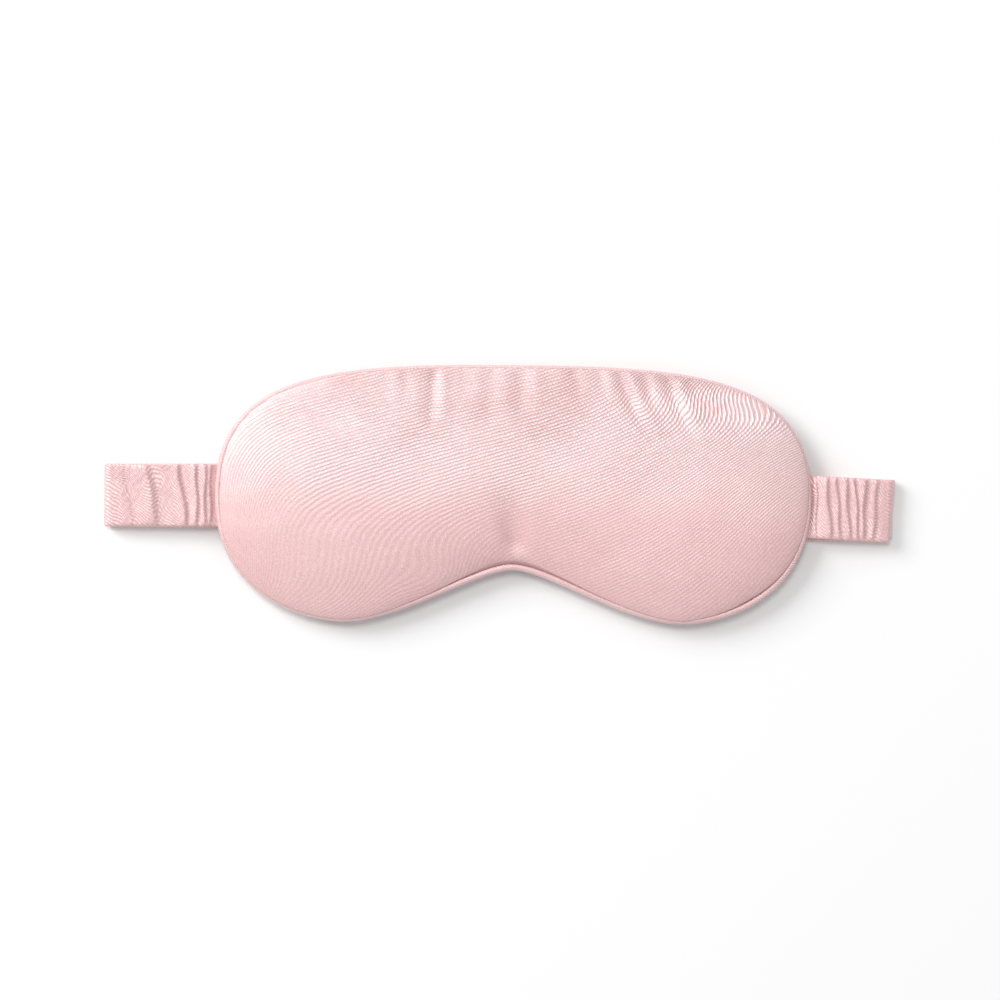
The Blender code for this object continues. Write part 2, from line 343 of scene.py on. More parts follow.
# lines of the weave over the front: a lean, and swells that push them aside (place, size and push in mm)
weaveLean = math.radians(16)
weaveSwells = (
    (-106, -36, 20, 44, -50),
    (-65, -41, 41, 26, -29),
    (-19, -32, 17, 13, -11),
    (92, 40, 37, 12, 22),
    (125, -3, 52, 46, 33),
)


def weaveLines(points):
    x, y = points[:, 0] / mm, points[:, 1] / mm
    across = y * math.cos(weaveLean) - x * math.sin(weaveLean)
    along = x * math.cos(weaveLean) + y * math.sin(weaveLean)
    for placeX, placeY, sizeX, sizeY, push in weaveSwells:
        across = across - push * np.exp(-(((x - placeX) / sizeX) ** 2) - ((y - placeY) / sizeY) ** 2)
    across = across + gatherRelief(points) / mm * gatherShape["weavePull"]
    return np.stack([along, across], axis=1)


# how strongly the weave shows over the front panel, which also sets how much painted highlight is laid on
weaveAndHighlightShow = {
    "middle": 0.64,
    "rise": 0.030,  # for each mm towards the forehead
    "range": (0.35, 1.6),
    "leftLoss": 0.25,
    "leftFrom": (45, 75),  # mm
    "patches": (0.35, 14 * mm, 12),  # depth, size, seed
}


def weaveAndHighlightDepth(points):  # the weave, and the painted highlight that follows it, show most over the forehead half and fade towards the cheeks
    x, y = points[:, 0] / mm, points[:, 1] / mm
    patchDepth, patchSize, seed = weaveAndHighlightShow["patches"]
    depth = np.clip(weaveAndHighlightShow["middle"] + weaveAndHighlightShow["rise"] * y, *weaveAndHighlightShow["range"])
    depth *= 1 - weaveAndHighlightShow["leftLoss"] * smoothStep(-x, *weaveAndHighlightShow["leftFrom"])
    return depth * (1 + patchDepth * softNoise(points, patchSize, seed))


def makeFrontPanel():
    piece = cutPanel("mask_front", panelCut["seamInset"])
    points = pointsOf(piece)
    inward = edgeDistance(points) - panelCut["seamInset"]
    points[:, 2] = rimHeight + frontPuff["seamHeight"] + frontPuff["rise"] * crown(
        inward / frontPuff["run"], frontPuff["power"]
    )
    setPoints(piece, points)
    faceUp(piece)
    puffUp(piece, inward < clothRun["pinnedTo"])
    fine = piece.modifiers.new("fine", "SUBSURF")
    fine.levels = fine.render_levels = 1
    applyModifiers(piece)
    points = pointsOf(piece)
    distance = edgeDistance(points) - panelCut["seamInset"]
    points[:, 2] += gatherRelief(points) + noseRelief(points, distance)
    for height, size, seed, fade in frontPuff["ripples"]:
        points[:, 2] += height * softNoise(points, size, seed) * smoothStep(distance, 0, fade)
    setPoints(piece, overhang(points, distance))
    setUv(piece, "weave", weaveLines(pointsOf(piece)))
    setNumber(piece, "fromSeam", np.clip(distance / mm, 0, panelCut["mostFromSeam"]))
    setNumber(piece, "weaveAndHighlightDepth", weaveAndHighlightDepth(pointsOf(piece)))
    return piece


def overhang(points, distance):  # the full panel rolls out over the piping
    nearest = nearestRim(points)
    way, roll = zip(*seamRoll)
    reach = np.interp(nearest / len(rimPoints), way, roll) * mm
    rise, fade = frontPuff["rollRise"], frontPuff["rollFade"]
    profile = smoothStep(distance, 0, rise) * (1 - smoothStep(distance, rise, fade))
    moved = points.copy()
    moved[:, :2] -= rimInward[nearest] * (reach * profile)[:, None]
    return moved


def nearestRim(points):
    order = np.zeros(len(points), int)
    for start in range(0, len(points), 4000):
        block = points[start:start + 4000, None, :2] - rimPoints[None]
        order[start:start + 4000] = np.argmin((block ** 2).sum(2), axis=1)
    return order


def faceUp(piece):
    builder = bmesh.new()
    builder.from_mesh(piece.data)
    bmesh.ops.recalc_face_normals(builder, faces=builder.faces)
    if sum(face.normal.z for face in builder.faces) < 0:
        bmesh.ops.reverse_faces(builder, faces=builder.faces)
    builder.to_mesh(piece.data)
    builder.free()


def thicken(piece, thickness, offset):
    shell = piece.modifiers.new("cloth thickness", "SOLIDIFY")
    shell.thickness = thickness
    shell.offset = offset
    applyModifiers(piece)
    piece.data.shade_smooth()


backPuff = {
    "drop": 2.75 * mm,
    "run": 28 * mm,
    "power": 0.75,
    "seamHeight": -0.3 * mm,
    "seamGap": 0.3 * mm,
    "ripple": (0.22 * mm, 13 * mm, 5),  # height, size, seed
    "rippleFrom": (1 * mm, 8 * mm),
    "weaveTurn": (0.94, 0.34),
    "weaveAndHighlightDepth": 0.7,
}


def makeBackPanel():
    piece = cutPanel("mask_back", panelCut["seamInset"] + backPuff["seamGap"])
    points = pointsOf(piece)
    inward = edgeDistance(points) - panelCut["seamInset"]
    points[:, 2] = backLevel(inward)
    height, size, seed = backPuff["ripple"]
    ripple = softNoise(points, size, seed) + 0.5
    points[:, 2] += height * ripple * smoothStep(inward, *backPuff["rippleFrom"])
    setPoints(piece, points)
    faceUp(piece)
    piece.data.flip_normals()
    x, y = points[:, 0] / mm, points[:, 1] / mm
    ahead, aside = backPuff["weaveTurn"]
    setUv(piece, "weave", np.stack([x * ahead + y * aside, y * ahead - x * aside], axis=1))
    setNumber(piece, "fromSeam", np.clip(inward / mm, 0, panelCut["mostFromSeam"]))
    setNumber(piece, "weaveAndHighlightDepth", np.full(len(points), backPuff["weaveAndHighlightDepth"]))
    return piece


# the layers between the panels: heights of their faces over the back panel, or under the front panel
layerCut = {
    "inset": 5.5 * mm,
    "startThickness": 1 * mm,
    "linerLow": 0.75 * mm,
    "linerHigh": 1.15 * mm,
    "waddingLow": 1.35 * mm,
    "waddingUnder": 1.4 * mm,
}


def makeFilling(name, lower, upper):  # a layer between the panels, from two height rules
    piece = cutPanel(name, layerCut["inset"])
    faceUp(piece)
    flat = pointsOf(piece)
    solid = piece.modifiers.new("layer", "SOLIDIFY")
    solid.thickness = layerCut["startThickness"]
    solid.offset = 1
    applyModifiers(piece)
    points = pointsOf(piece)
    isTop = points[:, 2] > flat[0, 2] + layerCut["startThickness"] / 2
    distance = edgeDistance(points) - panelCut["seamInset"]
    points[:, 2] = np.where(isTop, upper(distance, points), lower(distance))
    setPoints(piece, points)
    return piece


def backLevel(distance):
    return rimHeight + backPuff["seamHeight"] - backPuff["drop"] * crown(
        distance / backPuff["run"], backPuff["power"]
    )


def linerLow(distance):
    return backLevel(distance) + layerCut["linerLow"]


def linerHigh(distance, points):
    return backLevel(distance) + layerCut["linerHigh"]


def waddingLow(distance):
    return backLevel(distance) + layerCut["waddingLow"]


def waddingHigh(distance, points):
    front = rimHeight + frontPuff["rise"] * crown(distance / frontPuff["run"], frontPuff["power"])
    relief = gatherRelief(points) + noseRelief(points, distance)
    return front + np.minimum(relief, 0) - layerCut["waddingUnder"]


pipingRoll = {
    "steps": 1120,
    "sides": 18,
    "creaseDepth": 0.07 * mm,
    "creaseSize": 1.6 * mm,
    "creaseTurn": 0.6,
    "wander": 0.05,
    "wanderSize": 9 * mm,
    "twillSquash": 0.7,
    "cordInset": 0.55 * mm,
    "cordSides": 12,
    "strands": 3,
    "strandDepth": 0.10,
    "strandPitch": 1.1 * mm,
}


def makeTube(name, centres, inward, along, radius, sides):
    # a closed tube round the mask; radius is a rule of the place along and the angle
    turns = np.linspace(0, 2 * math.pi, sides, endpoint=False)
    rows = []
    for index, centre in enumerate(centres):
        for turn in turns:
            reach = radius(along[index], turn)
            out = -math.cos(turn) * reach
            rows.append((
                centre[0] + inward[index][0] * out,
                centre[1] + inward[index][1] * out,
                centre[2] + math.sin(turn) * reach,
            ))
    count = len(centres)
    faces = [
        (
            row * sides + side,
            row * sides + (side + 1) % sides,
            (row + 1) % count * sides + (side + 1) % sides,
            (row + 1) % count * sides + side,
        )
        for row in range(count) for side in range(sides)
    ]
    piece = makePiece(name, rows, faces)
    layer = piece.data.uv_layers.new(name="weave")
    total = along[-1] + along[1] - along[0]
    for face in piece.data.polygons:
        row, side = divmod(face.index, sides)
        for loop, (stepRow, stepSide) in zip(face.loop_indices, ((0, 0), (0, 1), (1, 1), (1, 0))):
            place = along[row + stepRow] if row + stepRow < count else total
            around = (side + stepSide) / sides * 2 * math.pi * pipingRadius
            layer.data[loop].uv = ((place + around) / mm, (place - around) / mm * pipingRoll["twillSquash"])
    faceOut(piece)
    piece.data.shade_smooth()
    return piece


def faceOut(piece):
    builder = bmesh.new()
    builder.from_mesh(piece.data)
    bmesh.ops.recalc_face_normals(builder, faces=builder.faces)
    builder.to_mesh(piece.data)
    builder.free()


def makePiping():
    points, inward, along = outlineLoop(pipingRoll["steps"])
    centres = [
        (*(point + turn * pipingRadius), rimHeight) for point, turn in zip(points, inward)
    ]

    def radius(place, turn):
        reach = pipingRoll["creaseTurn"]
        turned = (math.cos(turn) * reach, math.sin(turn) * reach)
        crease = noise.noise(Vector((place / pipingRoll["creaseSize"], *turned)))
        wander = noise.noise(Vector((place / pipingRoll["wanderSize"], 4, 7)))
        return pipingRadius * (1 + pipingRoll["wander"] * wander) + pipingRoll["creaseDepth"] * crease

    cover = makeTube("mask_piping", centres, inward, along, radius, pipingRoll["sides"])
    cordRadius = pipingRadius - pipingRoll["cordInset"]

    def strands(place, turn):
        lay = math.cos(pipingRoll["strands"] * (turn + place / pipingRoll["strandPitch"]))
        return cordRadius * (1 + pipingRoll["strandDepth"] * lay)

    cord = makeTube("piping_cord", centres, inward, along, strands, pipingRoll["cordSides"])
    return cover, cord


strapCut = {
    "width": 22 * mm,
    "thickness": 2.6 * mm,
    "corner": 0.8 * mm,
    "step": 0.32 * mm,
    "elasticWidth": 18.5 * mm,
    "elasticThickness": 0.9 * mm,
    "tuck": 1.8 * mm,  # how far the end goes in under the piping
    "halfGap": 0.15 * mm,
    "backGap": 0.2 * mm,  # from each end to the middle of the back, in the frame
    "backOverlap": 0.3 * mm,  # how much further each end reaches, so that the two meet
    "cornerSteps": 4,
    "flatSteps": 26,
    "turnSteps": 14,
    "runStretch": 1.25,  # the run's steps beside the stub's
    "runThinning": 0.5 * mm,
    "elasticEvery": 4,
}
foldPlace = {
    "left": strapSideBox["left"][0].x - strapCut["halfGap"],
    "right": strapSideBox["right"][1].x + strapCut["halfGap"],
}
foldMiddle = {"left": -1.5 * mm, "right": -4.8 * mm}
seamMiddle = {"left": -1.2 * mm, "right": -3.5 * mm}
backMiddle = (foldMiddle["left"] + foldMiddle["right"]) / 2
hingeHeight = strapCut["thickness"] + strapCut["halfGap"]
turnRadius = strapCut["thickness"] / 2 + strapCut["halfGap"]
turnReach = {"left": (0.95, 0.95), "right": (0.30, 1.0)}  # how round the fold is at its lower and upper edge
seamPlace = {side: maskMiddle.x + sideSign[side] * (halfWidth - strapCut["tuck"]) for side in sideSign}

# folds across each stub, in mm: place at the upper and at the lower edge, width, height, drop behind
stubFolds = {
    "left": (
        (3.4, 3.4, 0.50, 0.40, 0.2),
        (5.3, 5.3, 0.55, 0.42, 0.3),
        (8.6, 8.0, 0.75, 0.50, 0.5),
        (15.2, 11.4, 0.9, 0.50, 0.7),
        (26.4, 22.6, 2.8, 0.75, 0.5),
        (35.0, 31.0, 1.6, 0.22, 0.2),
    ),
    "right": (
        (3.4, 3.4, 0.5, 0.35, 0.2),
        (6.8, 8.6, 0.8, 0.45, 0.4),
        (10.2, 12.0, 0.7, 0.40, 0.4),
        (13.7, 15.2, 0.8, 0.45, 0.5),
        (16.8, 18.2, 0.7, 0.50, 0.6),
        (20.4, 19.6, 1.1, 0.55, 0.5),
        (24.8, 23.2, 0.9, 0.35, 0.3),
    ),
}
foldRise = {"stub": 1.5 * mm, "fold": 1.5 * mm, "run": 0.7 * mm}
foldUnder = {"stub": 0.25, "fold": 0.0, "run": 0.6}  # share of the relief on the inner face
foldShape = {
    "wobble": 0.3,
    "wobbleTurn": 4,
    "farAway": 6,  # in widths, as are those below
    "longSlope": 2.0,
    "steepSlope": 0.5,
    "hollow": 0.5,  # share of the drop
    "hollowPlace": 1.5,
    "hollowWidth": 1.1,
}
strayFold = {
    "length": 140,
    "seed": 7,
    "first": 1.5,
    "lean": (-2.5, 2.5),
    "width": (0.6, 1.1),
    "height": (0.15, 0.3),
    "drop": 0.3,
    "gap": (2.6, 5.2),
}


def foldRelief(folds, along, share, facing):  # along in mm, share across from -1 at the lower edge to 1
    relief, shape = 0.0, foldShape
    for upper, lower, width, height, drop in folds:
        wobble = shape["wobble"] * math.sin(share * shape["wobbleTurn"] + upper)
        away = along - lower - (upper - lower) * (share + 1) / 2 + wobble
        if abs(away) < width * shape["farAway"]:
            slope = width * shape["longSlope" if away * facing > 0 else "steepSlope"]
            relief += height * math.exp(-((away / slope) ** 2))
            behind = (away * facing + width * shape["hollowPlace"]) / (width * shape["hollowWidth"])
            relief -= drop * shape["hollow"] * math.exp(-(behind ** 2))
    return relief


def randomFolds(seed, start):  # small folds along a run, from its start on
    pick = random.Random(seed)
    folds, place = [], strayFold["first"]
    while place < strayFold["length"] - 1:
        lean, width, height = (pick.uniform(*strayFold[key]) for key in ("lean", "width", "height"))
        folds.append((place + start, place + lean + start, width, height, strayFold["drop"]))
        place += pick.uniform(*strayFold["gap"])
    return folds


def sectionShape(halfAcross, halfThick, corner):  # points round the strap, offset across and height
    corners = []
    for turnStart, signAcross, signUp in ((0, 1, 1), (90, -1, 1), (180, -1, -1), (270, 1, -1)):
        for step in range(strapCut["cornerSteps"]):
            turn = math.radians(turnStart + step * 90 / (strapCut["cornerSteps"] - 1))
            corners.append((
                signAcross * (halfAcross - corner) + corner * math.cos(turn),
                signUp * (halfThick - corner) + corner * math.sin(turn),
            ))
    first, last = strapCut["cornerSteps"], 3 * strapCut["cornerSteps"]
    upper = flatRow(corners[first - 1][0], corners[first][0], halfThick)
    lower = flatRow(corners[last - 1][0], corners[last][0], -halfThick)
    return corners[:first] + upper + corners[first:last] + lower + corners[last:]


def flatRow(start, end, height):
    steps = strapCut["flatSteps"]
    return [(start + (end - start) * step / steps, height) for step in range(1, steps)]


strapRipple = {
    "edge": (0.18 * mm, 1.9, 3.3),  # height, size along and seed
    "face": (0.08 * mm, 1.1, 2.2),  # height, size along and turns across
    "calmEdge": (0.8, 8),  # share and power
    "edgePower": 4,
    "flattest": 0.4,  # corner beside the thickness
}


def makeStrap(name, stations, folds, isCasing, inner=0.3, reach=(1, 1)):
    # a station is the middle of a section, its outward direction, its thickness and the place along in mm
    rows, uvs = [], []
    edgeHeight, edgeSize, edgeSeed = strapRipple["edge"]
    faceHeight, faceSize, faceTurns = strapRipple["face"]
    calm, calmPower = strapRipple["calmEdge"]
    width = strapCut["width"] if isCasing else strapCut["elasticWidth"]
    for middle, outward, thick, along in stations:
        thick = thick if isCasing else strapCut["elasticThickness"] * thick / strapCut["thickness"]
        section = sectionShape(width / 2, thick / 2, min(strapCut["corner"], thick * strapRipple["flattest"]))
        flatten = Vector((outward.x * (thick / 2 + turnRadius), 0, 0))
        edge = edgeHeight * noise.noise(Vector((along / edgeSize, edgeSeed, len(name)))) if isCasing else 0
        for offset, height in section:
            share = offset / (width / 2)
            lift = 0.0
            if isCasing:
                side, part = name.split("_")[1:]
                lift = foldRelief(folds, along, share, -sideSign[side])
                lift *= foldRise[part] * (1 - calm * abs(share) ** calmPower)
                lift += faceHeight * noise.noise(Vector((along / faceSize, share * faceTurns, len(name) + 5)))
            lift *= 1 if height > 0 else -inner
            across = offset + math.copysign(edge, offset) * abs(share) ** strapRipple["edgePower"]
            pressed = 1 - reach[0] + (reach[0] - reach[1]) * (share + 1) / 2
            spot = middle + Vector((0, across, 0)) + outward * (height + lift) - flatten * pressed
            rows.append((spot.x, spot.y, max(spot.z, 0)))
            uvs.append(strapWeave(along, offset / mm, lift / mm, name))
    count, sides = len(stations), len(section)
    faces = [
        (row * sides + side, row * sides + (side + 1) % sides,
         (row + 1) * sides + (side + 1) % sides, (row + 1) * sides + side)
        for row in range(count - 1) for side in range(sides)
    ]
    faces += [tuple(range(sides)), tuple((count - 1) * sides + side for side in range(sides))]
    piece = makePiece(name, rows, faces)
    setUv(piece, "weave", np.array(uvs))
    faceOut(piece)
    selectOnly(piece)
    bpy.ops.object.shade_smooth_by_angle(angle=math.radians(60))
    return piece


strapLines = {
    "waves": ((2.6, 8, 9, 0), (0.7, 3, 6, 9)),  # height, size along, size across and seed
    "lean": 0.65,
    "acrossShare": 0.85,
    "liftPull": 1.6,
}


def strapWeave(along, across, lift, name):  # the weave runs aslant and is pulled into waves by the gathers
    lines = strapLines
    wave = 0.0
    for height, sizeAlong, sizeAcross, seed in lines["waves"]:
        wave += height * noise.noise(Vector((along / sizeAlong, across / sizeAcross, len(name) + seed)))
    lean = lines["lean"] * sideSign[name.split("_")[1]]
    return along, across * lines["acrossShare"] + along * lean + wave + lift * lines["liftPull"]


stubStart = {"run": 7 * mm, "thickness": 1.3 * mm, "underRim": 1.05, "overRim": 0.7 * mm}


def stubStations(side):  # the end lies thin under the piping, opens out and comes down to the fold
    sign = sideSign[side]
    length = abs(foldPlace[side] - seamPlace[side])
    stations = []
    count = round(length / strapCut["step"])
    for index in range(count + 1):
        share = index / count
        along = length * share
        opened = smoothOne(along / stubStart["run"])
        thick = stubStart["thickness"] + (strapCut["thickness"] - stubStart["thickness"]) * opened
        topAtSeam = rimHeight - pipingRadius * stubStart["underRim"]
        topOpened = rimHeight + stubStart["overRim"]
        top = topAtSeam + (topOpened - topAtSeam) * opened
        drop = (topOpened - (hingeHeight * 2)) * share
        top -= drop * opened
        y = seamMiddle[side] + (foldMiddle[side] - seamMiddle[side]) * share
        middle = Vector((seamPlace[side] + sign * along, y, top - thick / 2))
        stations.append((middle, Vector((0, 0, 1)), thick, along / mm))
    return stations


def smoothOne(share):
    share = min(max(share, 0), 1)
    return share * share * (3 - 2 * share)


def turnStations(side, start):
    sign = sideSign[side]
    axis = Vector((foldPlace[side], foldMiddle[side], hingeHeight))
    stations = []
    count = strapCut["turnSteps"]
    for index in range(count + 1):
        turn = math.pi * index / count
        outward = Vector((sign * math.sin(turn), 0, math.cos(turn)))
        along = start + turn * turnRadius / mm
        stations.append((axis + outward * turnRadius, outward, strapCut["thickness"], along))
    return stations


def runStations(side, start):
    sign = sideSign[side]
    far = maskMiddle.x - sign * (strapCut["backOverlap"] - strapCut["backGap"])
    length = abs(foldPlace[side] - far)
    count = round(length / (strapCut["step"] * strapCut["runStretch"]))
    stations = []
    for index in range(count + 1):
        share = index / count
        y = foldMiddle[side] + (backMiddle - foldMiddle[side]) * share
        thick = strapCut["thickness"] - strapCut["runThinning"] * min(1, share * 12)
        middle = Vector((foldPlace[side] - sign * length * share, y, strapCut["thickness"] / 2))
        stations.append((middle, Vector((0, 0, -1)), thick, start + length * share / mm))
    return stations


def makeHeadStrap(side):
    pieces = {}
    stub = stubStations(side)
    turn = turnStations(side, stub[-1][3])
    run = runStations(side, turn[-1][3])
    runFolds = randomFolds(strayFold["seed"] + sideSign[side], turn[-1][3])
    parts = (("stub", stub, stubFolds[side]), ("fold", turn, ()), ("run", run, runFolds))
    for part, stations, folds in parts:
        reach = turnReach[side] if part == "fold" else (1, 1)
        pieces[part] = makeStrap(f"strap_{side}_{part}", stations, folds, True, foldUnder[part], reach)
        fewer = stations[::strapCut["elasticEvery"]] + [stations[-1]]
        pieces[part + "Elastic"] = makeStrap(f"elastic_{side}_{part}", fewer, (), False)
    return pieces


def startMaterial(name, colour, roughness, sheen=0.0, ior=1.5):
    material = bpy.data.materials.new(name)
    material.use_nodes = True
    shader = material.node_tree.nodes["Principled BSDF"]
    shader.inputs["Base Color"].default_value = (*colour, 1)
    shader.inputs["Roughness"].default_value = roughness
    shader.inputs["Metallic"].default_value = 0
    shader.inputs["Sheen Weight"].default_value = sheen
    shader.inputs["Sheen Roughness"].default_value = 0.4
    shader.inputs["Sheen Tint"].default_value = (1, 0.9, 0.9, 1)
    shader.inputs["Specular IOR Level"].default_value = 1.0
    shader.inputs["IOR"].default_value = ior
    return material, shader


class Wiring:  # places nodes in a tree and joins them
    def __init__(self, tree):
        self.tree = tree

    def join(self, source, target):
        self.tree.links.new(source, target)
        return target

    def maths(self, operation, first, second=None, clamp=False):
        node = self.tree.nodes.new("ShaderNodeMath")
        node.operation = operation
        node.use_clamp = clamp
        for socket, value in zip(node.inputs, (first, second)):
            if value is None:
                continue
            if isinstance(value, (int, float)):
                socket.default_value = value
            else:
                self.join(value, socket)
        return node.outputs[0]

    def scaled(self, value, factor, base):  # value times factor, plus base
        result = self.maths("MULTIPLY_ADD", value, factor)
        result.node.inputs[2].default_value = base
        return result

    def noise(self, vector, scale, detail):
        node = self.tree.nodes.new("ShaderNodeTexNoise")
        node.inputs["Scale"].default_value = scale
        node.inputs["Detail"].default_value = detail
        self.join(vector, node.inputs["Vector"])
        return node.outputs["Fac"]

    def mix(self, share, first, second):
        node = self.tree.nodes.new("ShaderNodeMix")
        node.data_type = "RGBA"
        for socket, value in ((node.inputs[0], share), (node.inputs[6], first), (node.inputs[7], second)):
            if isinstance(value, (int, float)):
                socket.default_value = value
            elif isinstance(value, tuple):
                socket.default_value = (*value, 1)
            else:
                self.join(value, socket)
        return node.outputs[2]


twillShape = {
    "swayScale": 260,
    "grainScale": 2600,
    "patchScale": 45,
    "rowStep": 0.37,  # how far each row's breaks lie from the last row's
    "breaks": (0.25, 0.75),  # share and base
    "slubs": (1.5, 0.25),
    "slubStretch": (0.45, 1.5, 1),
}


def makeTwillGroup():  # satin lines in mm coordinates: ridges along U, spaced in V, broken into floats
    shape = twillShape
    tree = bpy.data.node_groups.new("twillLines", "ShaderNodeTree")
    for name in ("Weave", "Place"):
        tree.interface.new_socket(name, in_out="INPUT", socket_type="NodeSocketVector")
    for name in ("Spacing", "Float", "Wander"):
        tree.interface.new_socket(name, in_out="INPUT", socket_type="NodeSocketFloat")
    for name in ("Line", "Grain", "Patch"):
        tree.interface.new_socket(name, in_out="OUTPUT", socket_type="NodeSocketFloat")
    wiring = Wiring(tree)
    entry, leave = tree.nodes.new("NodeGroupInput"), tree.nodes.new("NodeGroupOutput")
    split = tree.nodes.new("ShaderNodeSeparateXYZ")
    wiring.join(entry.outputs["Weave"], split.inputs[0])
    along, across = split.outputs[0], split.outputs[1]
    sway = wiring.maths("SUBTRACT", wiring.noise(entry.outputs["Place"], shape["swayScale"], 2), 0.5)
    across = wiring.maths("ADD", across, wiring.maths("MULTIPLY", sway, entry.outputs["Wander"]))
    phase = wiring.maths("DIVIDE", across, entry.outputs["Spacing"])
    ridge = wiring.maths("SINE", wiring.maths("MULTIPLY", phase, 2 * math.pi))
    ridge = wiring.scaled(ridge, 0.5, 0.5)
    step = wiring.maths("MULTIPLY", wiring.maths("FLOOR", phase), shape["rowStep"])
    floats = wiring.maths("ADD", wiring.maths("DIVIDE", along, entry.outputs["Float"]), step)
    breaks = wiring.maths("SINE", wiring.maths("MULTIPLY", floats, 2 * math.pi))
    breaks = wiring.scaled(breaks, *shape["breaks"])
    stretched = tree.nodes.new("ShaderNodeVectorMath")
    stretched.operation = "MULTIPLY"
    stretched.inputs[1].default_value = shape["slubStretch"]
    wiring.join(entry.outputs["Weave"], stretched.inputs[0])
    slubs = wiring.scaled(wiring.noise(stretched.outputs[0], 1.0, 1), *shape["slubs"])
    line = wiring.maths("MULTIPLY", wiring.maths("MULTIPLY", ridge, breaks), slubs)
    wiring.join(line, leave.inputs["Line"])
    wiring.join(wiring.noise(entry.outputs["Place"], shape["grainScale"], 3), leave.inputs["Grain"])
    wiring.join(wiring.noise(entry.outputs["Place"], shape["patchScale"], 3), leave.inputs["Patch"])
    return tree


satinLook = {
    "mask": {
        # light: a paler colour laid over the upper, forehead half as a painted highlight
        "base": (0.855, 0.54, 0.54), "light": (1.0, 0.81, 0.81), "line": (0.66, 0.24, 0.25),
        "lineShare": 0.38, "spacing": 1.16,
        "float": 1.2, "wander": 0.7, "roughness": 0.38, "bump": 0.19, "grain": 0.9, "seam": True,
    },
    "piping": {
        "base": (0.91, 0.64, 0.64), "line": (0.62, 0.24, 0.25), "lineShare": 0.5, "spacing": 0.75,
        "float": 1.2, "wander": 0.3, "roughness": 0.42, "bump": 0.14, "grain": 0.4, "seam": False,
    },
    "strap": {
        "base": (0.92, 0.625, 0.625), "line": (0.62, 0.24, 0.25), "lineShare": 0.6, "spacing": 1.05,
        "float": 1.3, "wander": 0.8, "roughness": 0.36, "bump": 0.16, "grain": 0.4, "seam": False,
    },
}


satinShade = {
    "sheen": 0.25,
    "ior": 1.8,
    "patch": (0.9, 0.45),  # share and base
    "leastDepth": 0.4,
    "paintedHighlightFrom": (0.35, 1.1),  # painted highlight: depth of weave where it starts, and how fast it grows
    # a dark colour along the seam beside the piping: painted shade in the seam ditch, with some thread colour
    "seamShadeAndThread": (0.34, 0.14, 0.15),
    "seamReach": 0.8,  # mm
    "seamShadeAndThreadShare": 0.95,
    "grainBump": 0.6,
}


def makeSatin(name, look, twill):
    shade = satinShade
    material, shader = startMaterial(name, look["base"], look["roughness"], shade["sheen"], shade["ior"])
    wiring = Wiring(material.node_tree)
    place = material.node_tree.nodes.new("ShaderNodeTexCoord").outputs["Object"]
    weave = material.node_tree.nodes.new("ShaderNodeUVMap")
    weave.uv_map = "weave"
    group = material.node_tree.nodes.new("ShaderNodeGroup")
    group.node_tree = twill
    wiring.join(weave.outputs["UV"], group.inputs["Weave"])
    wiring.join(place, group.inputs["Place"])
    group.inputs["Spacing"].default_value = look["spacing"]
    group.inputs["Float"].default_value = look["float"]
    group.inputs["Wander"].default_value = look["wander"]
    line, grain, patch = (group.outputs[key] for key in ("Line", "Grain", "Patch"))
    strength = wiring.scaled(patch, *shade["patch"])
    relief, base = line, look["base"]
    if look["seam"]:
        depth = material.node_tree.nodes.new("ShaderNodeAttribute")
        depth.attribute_name = "weaveAndHighlightDepth"
        shown = wiring.maths("ADD", depth.outputs["Fac"], shade["leastDepth"])
        strength = wiring.maths("MULTIPLY", strength, shown)
        relief = wiring.maths("MULTIPLY", line, depth.outputs["Fac"])
        # mix in the paler light colour where the weave depth is high: a painted highlight over the forehead
        # half
        start, growth = shade["paintedHighlightFrom"]
        paintedHighlightShare = wiring.maths("SUBTRACT", depth.outputs["Fac"], start)
        paintedHighlightShare = wiring.maths("MULTIPLY", paintedHighlightShare, growth, clamp=True)
        base = wiring.mix(paintedHighlightShare, look["base"], look["light"])
    between = wiring.maths("MULTIPLY", wiring.maths("SUBTRACT", 1.0, line), strength)
    between = wiring.maths("MULTIPLY", between, look["lineShare"], clamp=True)
    colour = wiring.mix(between, base, look["line"])
    speckle = wiring.maths("MULTIPLY", wiring.maths("SUBTRACT", grain, 0.5), look["grain"])
    speckle = wiring.maths("ADD", 1.0, speckle)
    tone = material.node_tree.nodes.new("ShaderNodeHueSaturation")
    wiring.join(colour, tone.inputs["Color"])
    wiring.join(speckle, tone.inputs["Value"])
    colour = tone.outputs["Color"]
    # darken the panel next to the seam: painted shade in the seam ditch, with some thread colour
    if look["seam"]:
        near = material.node_tree.nodes.new("ShaderNodeAttribute")
        near.attribute_name = "fromSeam"
        away = wiring.maths("DIVIDE", near.outputs["Fac"], shade["seamReach"])
        dark = wiring.maths("SUBTRACT", 1.0, away, clamp=True)
        colour = wiring.mix(wiring.maths("MULTIPLY", dark, shade["seamShadeAndThreadShare"]), colour, shade["seamShadeAndThread"])
    wiring.join(colour, shader.inputs["Base Color"])
    bump = material.node_tree.nodes.new("ShaderNodeBump")
    bump.inputs["Strength"].default_value = 1.0
    bump.inputs["Distance"].default_value = look["bump"] * mm
    height = wiring.maths("ADD", relief, wiring.maths("MULTIPLY", grain, shade["grainBump"]))
    wiring.join(height, bump.inputs["Height"])
    wiring.join(bump.outputs["Normal"], shader.inputs["Normal"])
    return material


